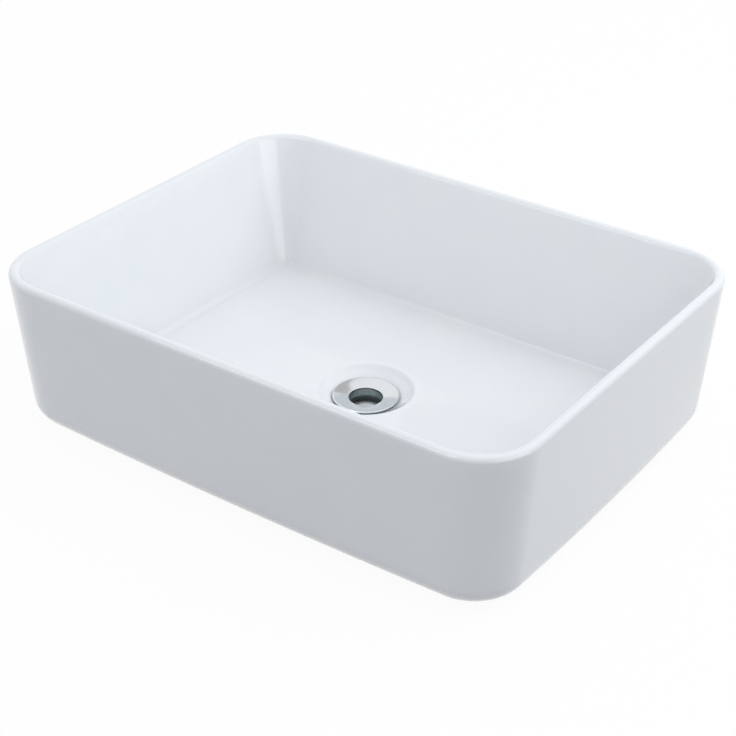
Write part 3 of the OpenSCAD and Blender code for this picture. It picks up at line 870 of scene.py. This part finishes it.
class MakeWaste(Operator):
    """Make the chromed waste with its dished flange and threaded shank, and the gasket under the flange"""

    bl_idname = "basin.make_waste"
    bl_label = "Waste and gasket"

    edge = 0.3 * MM

    def execute(self, context):
        scene = context.scene
        w = scene.basin_waste
        profile = [
            (w.throat, w.flange_top - w.flange_dish),
            (w.flange - w.flange_edge, w.flange_top),
            (w.flange - w.flange_edge / 2, w.flange_top),
            (w.flange, w.flange_top - w.flange_edge / 2),
            (w.flange, under_flange(w, w.flange)),
            (w.shank, under_flange(w, w.shank)),
            (w.shank, w.shank_end),
            (w.socket, w.shank_end),
            (w.socket, w.socket_top),
            (w.ledge, w.socket_top),
            (w.ledge, w.strainer_seat),
            (w.pocket, w.strainer_seat),
            (w.pocket, w.strainer_top),
            (w.throat, w.strainer_top),
        ]
        thread = w.shank, w.thread_pitch, w.thread_depth, w.shank_end + self.edge, w.thread_top
        bm = screwed(profile, self.edge, *thread)
        piece(bm, "waste_with_flange", "waste_body", chrome(scene), sharp=50.0)

        inner, outer = w.shank + w.clearance, w.flange - w.gasket_back
        rubber = [
            (inner, under_flange(w, inner)),
            (outer, under_flange(w, outer)),
            (outer, under_flange(w, outer) - w.gasket),
            (inner, under_flange(w, inner) - w.gasket),
        ]
        looks = {"pale": 0.03, "sheen": 0.5, "grain_scale": 2200.0, "relief": 0.03 * MM}
        grey = moulded("Grey rubber", scene.basin_finish.grey_rubber, **looks)
        piece(turned(rubber, self.edge), "flange_gasket_ring", "flange_gasket", grey)
        return {"FINISHED"}


class MakeStrainer(Operator):
    """Make the strainer: a domed centre on arms inside a ring"""

    bl_idname = "basin.make_strainer"
    bl_label = "Strainer"

    arm_steps = 6
    slot_steps = 18
    dome_steps = 6

    def rim(self, waste, radius):
        """A circle at the strainer's underside whose points are gathered at the edges of the arms."""
        half = math.asin(waste.arm / 2 / radius)
        sector = TURN / waste.arms
        turns = []
        for arm in range(waste.arms):
            start = sector * (arm + 0.5) - half
            turns += [start + 2 * half * part for part in parts(self.arm_steps)[:-1]]
            turns += [mix(start + 2 * half, start + sector, part) for part in parts(self.slot_steps)[:-1]]
        return [round_point(radius, turn, waste.strainer_seat) for turn in turns]

    def execute(self, context):
        w = context.scene.basin_waste
        bm = bmesh.new()
        count = w.arms * (self.arm_steps + self.slot_steps)
        hub = bmesh.ops.create_circle(bm, segments=count, radius=w.hub)["verts"]
        placed(hub, self.rim(w, w.hub))
        inner = placed(extruded(bm, hub), self.rim(w, STRAINER_HIGH.x - w.ring))
        slots = [face for face in bm.faces if not self.is_arm(face, w)]
        bmesh.ops.delete(bm, geom=slots, context="FACES_KEEP_BOUNDARY")
        for vert in extruded(bm, inner):
            vert.co.xy *= STRAINER_HIGH.x / (STRAINER_HIGH.x - w.ring)
        loop = hub
        for part in parts(self.dome_steps, 1)[:-1]:
            loop = extruded(bm, loop)
            for vert in loop:
                vert.co.xy = vert.co.xy.normalized() * w.hub * math.cos(QUARTER * part)
        centre = bmesh.ops.contextual_create(bm, geom=loop)["faces"]
        bmesh.ops.poke(bm, faces=centre)
        self.raise_faces(bm, bm.faces[:], w.arm_thick)
        arm_top = w.strainer_seat + w.arm_thick
        top = [face for face in bm.faces if face.calc_center_median().z > arm_top - FINE]
        hub_top = [face for face in top if all(vert.co.xy.length < w.hub + FINE for vert in face.verts)]
        for vert in self.raise_faces(bm, hub_top, w.strainer_top - w.dome - arm_top):
            vert.co.z += w.dome * math.sqrt(max(0.0, 1 - (vert.co.xy.length / w.hub) ** 2))
        bmesh.ops.delete(bm, geom=hub_top, context="FACES")
        bmesh.ops.recalc_face_normals(bm, faces=bm.faces)
        piece(bm, "strainer_disc", "strainer", steel(context.scene.basin_finish))
        return {"FINISHED"}

    def raise_faces(self, bm, faces, rise):
        """Extrude faces straight up, keep those below, and give the new vertices."""
        verts = fresh_verts(bmesh.ops.extrude_face_region(bm, geom=faces, use_keep_orig=True)["geom"])
        bmesh.ops.translate(bm, verts=verts, vec=(0, 0, rise))
        return verts

    def is_arm(self, face, waste):
        """Whether a face between the centre and the ring belongs to an arm."""
        middle = face.calc_center_median()
        sector = TURN / waste.arms
        off = (math.atan2(middle.y, middle.x) % sector) - sector / 2
        return abs(off) * middle.xy.length < waste.arm / 2


class MakeClamp(Operator):
    """Make the rubber washer, the slip ring and the lock nut that clamp the countertop"""

    bl_idname = "basin.make_clamp"
    bl_label = "Washers and lock nut"

    edge = 0.3 * MM
    side_steps = 12
    corner_blunt = 0.5 * MM

    def execute(self, context):
        scene = context.scene
        c = scene.basin_clamp
        inner = scene.basin_waste.shank + scene.basin_waste.clearance
        washer = [
            (inner, WASHER_LOW.z),
            (c.washer, WASHER_LOW.z),
            (c.washer, WASHER_HIGH.z - c.washer_bevel),
            (c.washer - c.washer_bevel, WASHER_HIGH.z),
            (inner, WASHER_HIGH.z),
        ]
        rubber = black_rubber(scene)
        piece(turned(washer, self.edge), "bevelled_washer", "rubber_washer", rubber)
        looks = {"pale": 0.1, "sheen": 0.38, "grain_scale": 1200.0, "relief": 0.02 * MM, "soft": 0.15}
        nylon = moulded("Off-white nylon", scene.basin_finish.nylon, **looks)
        slip = tube(inner, c.washer, SLIP_LOW.z, SLIP_HIGH.z)
        piece(turned(slip, self.edge), "nylon_ring", "slip_ring", nylon)
        brass = turned_brass(scene.basin_finish)
        piece(self.nut(scene.basin_waste, c), "hexagon_nut", "lock_nut", brass, sharp=20.0)
        return {"FINISHED"}

    def nut(self, waste, clamp):
        """A hexagon nut whose corners are chamfered by a cone, with a chamfered bore."""
        flat = clamp.nut_flats / 2
        side = TURN / 6
        point = flat / math.cos(side / 2)
        bore = waste.shank + clamp.nut_gap
        turns = [side * k / self.side_steps for k in range(6 * self.side_steps)]
        reach = [min(flat / math.cos((turn % side) - side / 2), point - self.corner_blunt) for turn in turns]
        cone = clamp.nut_chamfer / (point - flat)
        bite = self.edge * 2
        cut = [self.edge + (radius - flat) * cone for radius in reach]
        low, high = NUT_LOW.z, NUT_HIGH.z

        def ring(radius, level):
            """A round section."""
            return [round_point(radius, turn, level) for turn in turns]

        def hexagon(level, way):
            """The section where the flats meet the chamfer, next to the lower or the upper face."""
            levels = [level + way * drop for drop in cut]
            return [round_point(*point) for point in zip(reach, turns, levels)]

        sections = [
            ring(bore + bite, low),
            ring(flat - self.edge, low),
            hexagon(low, 1),
            hexagon(high, -1),
            ring(flat - self.edge, high),
            ring(bore + bite, high),
            ring(bore, high - bite),
            ring(bore, low + bite),
        ]
        return lofted(sections)


class MakeTailpiece(Operator):
    """Make the tailpiece with its screwed end, and the seal above it"""

    bl_idname = "basin.make_tailpiece"
    bl_label = "Tailpiece and seal"

    edge = 0.25 * MM

    def execute(self, context):
        scene = context.scene
        c = scene.basin_clamp
        bore = c.tail - c.tail_wall
        neck = scene.basin_waste.shank_end - c.tail_neck
        profile = [
            (bore, TAIL_LOW.z),
            (c.tail, TAIL_LOW.z),
            (c.tail, neck),
            (c.tail_screw, neck),
            (c.tail_screw, TAIL_HIGH.z),
            (bore, TAIL_HIGH.z),
        ]
        thread = c.tail_screw, c.tail_pitch, c.tail_thread, neck, TAIL_HIGH.z - self.edge
        piece(screwed(profile, self.edge, *thread), "tail_tube", "tailpiece", chrome(scene))
        seal = turned(tube(bore, c.tail_screw, SEAL_LOW.z, SEAL_HIGH.z), self.edge)
        piece(seal, "tail_seal_ring", "tailpiece_seal", black_rubber(scene))
        return {"FINISHED"}


class MakeStudio(Operator):
    """Make the white floor, the soft lamps, the world and the camera"""

    bl_idname = "basin.make_studio"
    bl_label = "Studio"

    floor_reach = 8.0
    floor_steps = 96
    hole = 22.5 * MM
    key_place = (0.86, 0.78, 1.31)
    key_size = (1.2, 1.2)
    card_place = (-0.4, -1.45, 0.1)
    card_size = (1.4, 0.18)
    strip_place = (-0.34, -0.91, 0.87)
    strip_size = (1.0, 0.3)
    side_place = (1.5, -0.25, 0.52)
    side_size = (1.5, 0.75)
    grey_place = (-0.44, 1.04, 1.0)
    grey_half = 0.22
    sensor_width = 36.0

    def execute(self, context):
        scene = context.scene
        studio = scene.basin_studio
        scene.view_settings.view_transform = "Standard"
        self.floor(studio)
        self.world(scene, studio)
        middle = Vector((0, 0, studio.target))
        card_aim = Vector((0, 0, self.card_place[2]))
        strip_aim = Vector((self.strip_place[0], 0, 0))
        side_aim = Vector((0, *self.side_place[1:]))
        lamps = (
            self.lamp(scene, "key_back_right", self.key_place, self.key_size, studio.key, middle),
            self.lamp(scene, "card_front", self.card_place, self.card_size, studio.card, card_aim),
        )
        for lamp in lamps:
            lamp.visible_glossy = False
        panels = (
            self.lamp(scene, "strip_front", self.strip_place, self.strip_size, studio.strip, strip_aim),
            self.lamp(scene, "panel_right", self.side_place, self.side_size, studio.side, side_aim),
            self.grey_card(studio.grey, middle),
        )
        for panel in panels:
            panel.visible_diffuse = False
        self.camera(scene, studio)
        return {"FINISHED"}

    def floor(self, studio):
        """A wide floor with a hole for the shank; from below it can't be seen."""
        bm = bmesh.new()
        loop = bmesh.ops.create_circle(bm, segments=self.floor_steps, radius=self.hole)["verts"]
        for vert in extruded(bm, loop):
            vert.co *= self.floor_reach / self.hole
        for face in bm.faces:
            face.normal_update()
            if face.normal.z < 0:
                face.normal_flip()
        made = made_object(bm, "white_floor", self.floor_material(studio))

    def grey_card(self, grey, aim):
        """A grey card at the back left that only shows in reflections."""
        bm = bmesh.new()
        bmesh.ops.create_grid(bm, x_segments=1, y_segments=1, size=self.grey_half)
        material = bpy.data.materials.new("Grey card")
        tree = empty_tree(material)
        glow = self.shader(tree, "ShaderNodeEmission", "Grey", (grey,) * 3, Strength=1.0)
        add(tree, "ShaderNodeOutputMaterial", "", {"Surface": glow})
        made = made_object(bm, "grey_card", material)
        made.location = self.grey_place
        made.rotation_euler = (aim - made.location).to_track_quat("Z", "Y").to_euler()
        made.visible_camera = False
        made.visible_shadow = False
        return made

    def shader(self, tree, kind, label, tone, **inputs):
        """A shader of one colour."""
        return add(tree, kind, label, {"Color": rgba(tone), **inputs}).outputs[0]

    def floor_material(self, studio):
        """White to the camera and in reflections, with a light shadow kept, and clear from below."""
        material = bpy.data.materials.new("White floor")
        tree = empty_tree(material)
        shaded = self.shader(tree, "ShaderNodeBsdfDiffuse", "Keeps the shadow", PLAIN_WHITE)
        white = self.shader(tree, "ShaderNodeEmission", "Plain white", PLAIN_WHITE, Strength=1.0)
        veiled = either_shader(tree, "White with a light shadow", studio.veil, shaded, white)
        grey = [value * studio.bounce for value in studio.tint]
        bounce = self.shader(tree, "ShaderNodeBsdfDiffuse", "What lights the part", grey)
        lit = either_shader(tree, "Seen, or lighting the part", self.seen_rays(tree), bounce, veiled)
        clear = add(tree, "ShaderNodeBsdfTransparent").outputs[0]
        below = add(tree, "ShaderNodeNewGeometry").outputs["Backfacing"]
        facing = either_shader(tree, "Clear from below", below, lit, clear)
        add(tree, "ShaderNodeOutputMaterial", "", {"Surface": facing})
        return material

    def seen_rays(self, tree):
        """An output that is 1 for what the camera sees, also in a reflection or through glass."""
        rays = add(tree, "ShaderNodeLightPath").outputs
        either = reckon(tree, "Seen or mirrored", "MAXIMUM", rays["Is Camera Ray"], rays["Is Glossy Ray"])
        return reckon(tree, "Or through glass", "MAXIMUM", either, rays["Is Transmission Ray"])

    def world(self, scene, studio):
        """White to the camera and in reflections, and a weaker light on the object."""
        scene.world = bpy.data.worlds.new("White room")
        tree = empty_tree(scene.world)
        room = self.shader(tree, "ShaderNodeBackground", "Light", studio.tint, Strength=studio.room)
        plain = self.shader(tree, "ShaderNodeBackground", "Seen", PLAIN_WHITE, Strength=1.0)
        chosen = either_shader(tree, "Light or background", self.seen_rays(tree), room, plain)
        add(tree, "ShaderNodeOutputWorld", "", {"Surface": chosen})

    def lamp(self, scene, name, place, size, strength, aim):
        """A soft rectangular lamp that looks at a point."""
        light = bpy.data.lights.new(name, "AREA")
        light.shape = "RECTANGLE"
        light.size, light.size_y = size
        light.energy = strength
        light.color = scene.basin_studio.tint
        made = bpy.data.objects.new(name, light)
        made.location = place
        made.rotation_euler = (aim - Vector(place)).to_track_quat("-Z", "Y").to_euler()
        made.visible_camera = False
        scene.collection.objects.link(made)
        return made

    def camera(self, scene, studio):
        """The camera at the photograph's angle, with its small roll."""
        turn, rise = studio.azimuth, studio.elevation
        back = Vector((math.sin(turn) * math.cos(rise), -math.cos(turn) * math.cos(rise), math.sin(rise)))
        level = Vector((math.cos(turn), math.sin(turn), 0.0))
        upright = back.cross(level)
        right = level * math.cos(studio.roll) + upright * math.sin(studio.roll)
        up = upright * math.cos(studio.roll) - level * math.sin(studio.roll)
        data = bpy.data.cameras.new("photo_camera")
        data.sensor_width = self.sensor_width
        data.lens = studio.lens
        made = bpy.data.objects.new("photo_camera", data)
        eye = Vector((0, 0, studio.target)) + back * studio.distance
        eye += right * studio.shift_right + up * studio.shift_up
        made.matrix_world = Matrix.Translation(eye) @ Matrix((right, up, back)).transposed().to_4x4()
        scene.collection.objects.link(made)
        scene.camera = made


MAKERS = (MakeStudio, MakeShell, MakeWaste, MakeStrainer, MakeClamp, MakeTailpiece)
GROUPS = {
    "basin_shell": ShellSizes,
    "basin_waste": WasteSizes,
    "basin_clamp": ClampSizes,
    "basin_finish": FinishColours,
    "basin_studio": StudioSettings,
}


class BasinPanel(Panel):
    """Sizes, finishes and makers of the basin"""

    bl_idname = "VIEW3D_PT_basin"
    bl_label = "Countertop basin"
    bl_space_type = "VIEW_3D"
    bl_region_type = "UI"
    bl_category = "Basin"

    def draw(self, context):
        layout = self.layout
        for maker in MAKERS:
            layout.operator(maker.bl_idname)
        for name, group in GROUPS.items():
            box = layout.box()
            box.label(text=group.__doc__)
            for value in group.__annotations__:
                box.prop(getattr(context.scene, name), value)


def register():
    """Register the settings, the makers and the panel."""
    for name, group in GROUPS.items():
        bpy.utils.register_class(group)
        setattr(bpy.types.Scene, name, PointerProperty(type=group))
    for maker in (*MAKERS, BasinPanel):
        bpy.utils.register_class(maker)


def unregister():
    """Take them out again, in the opposite order."""
    for maker in reversed((*MAKERS, BasinPanel)):
        bpy.utils.unregister_class(maker)
    for name, group in reversed(GROUPS.items()):
        delattr(bpy.types.Scene, name)
        bpy.utils.unregister_class(group)


def main():
    """Make the whole scene."""
    register()
    bpy.ops.basin.make_studio()
    bpy.ops.basin.make_shell()
    bpy.ops.basin.make_waste()
    bpy.ops.basin.make_strainer()
    bpy.ops.basin.make_clamp()
    bpy.ops.basin.make_tailpiece()


if __name__ == "__main__":
    main()
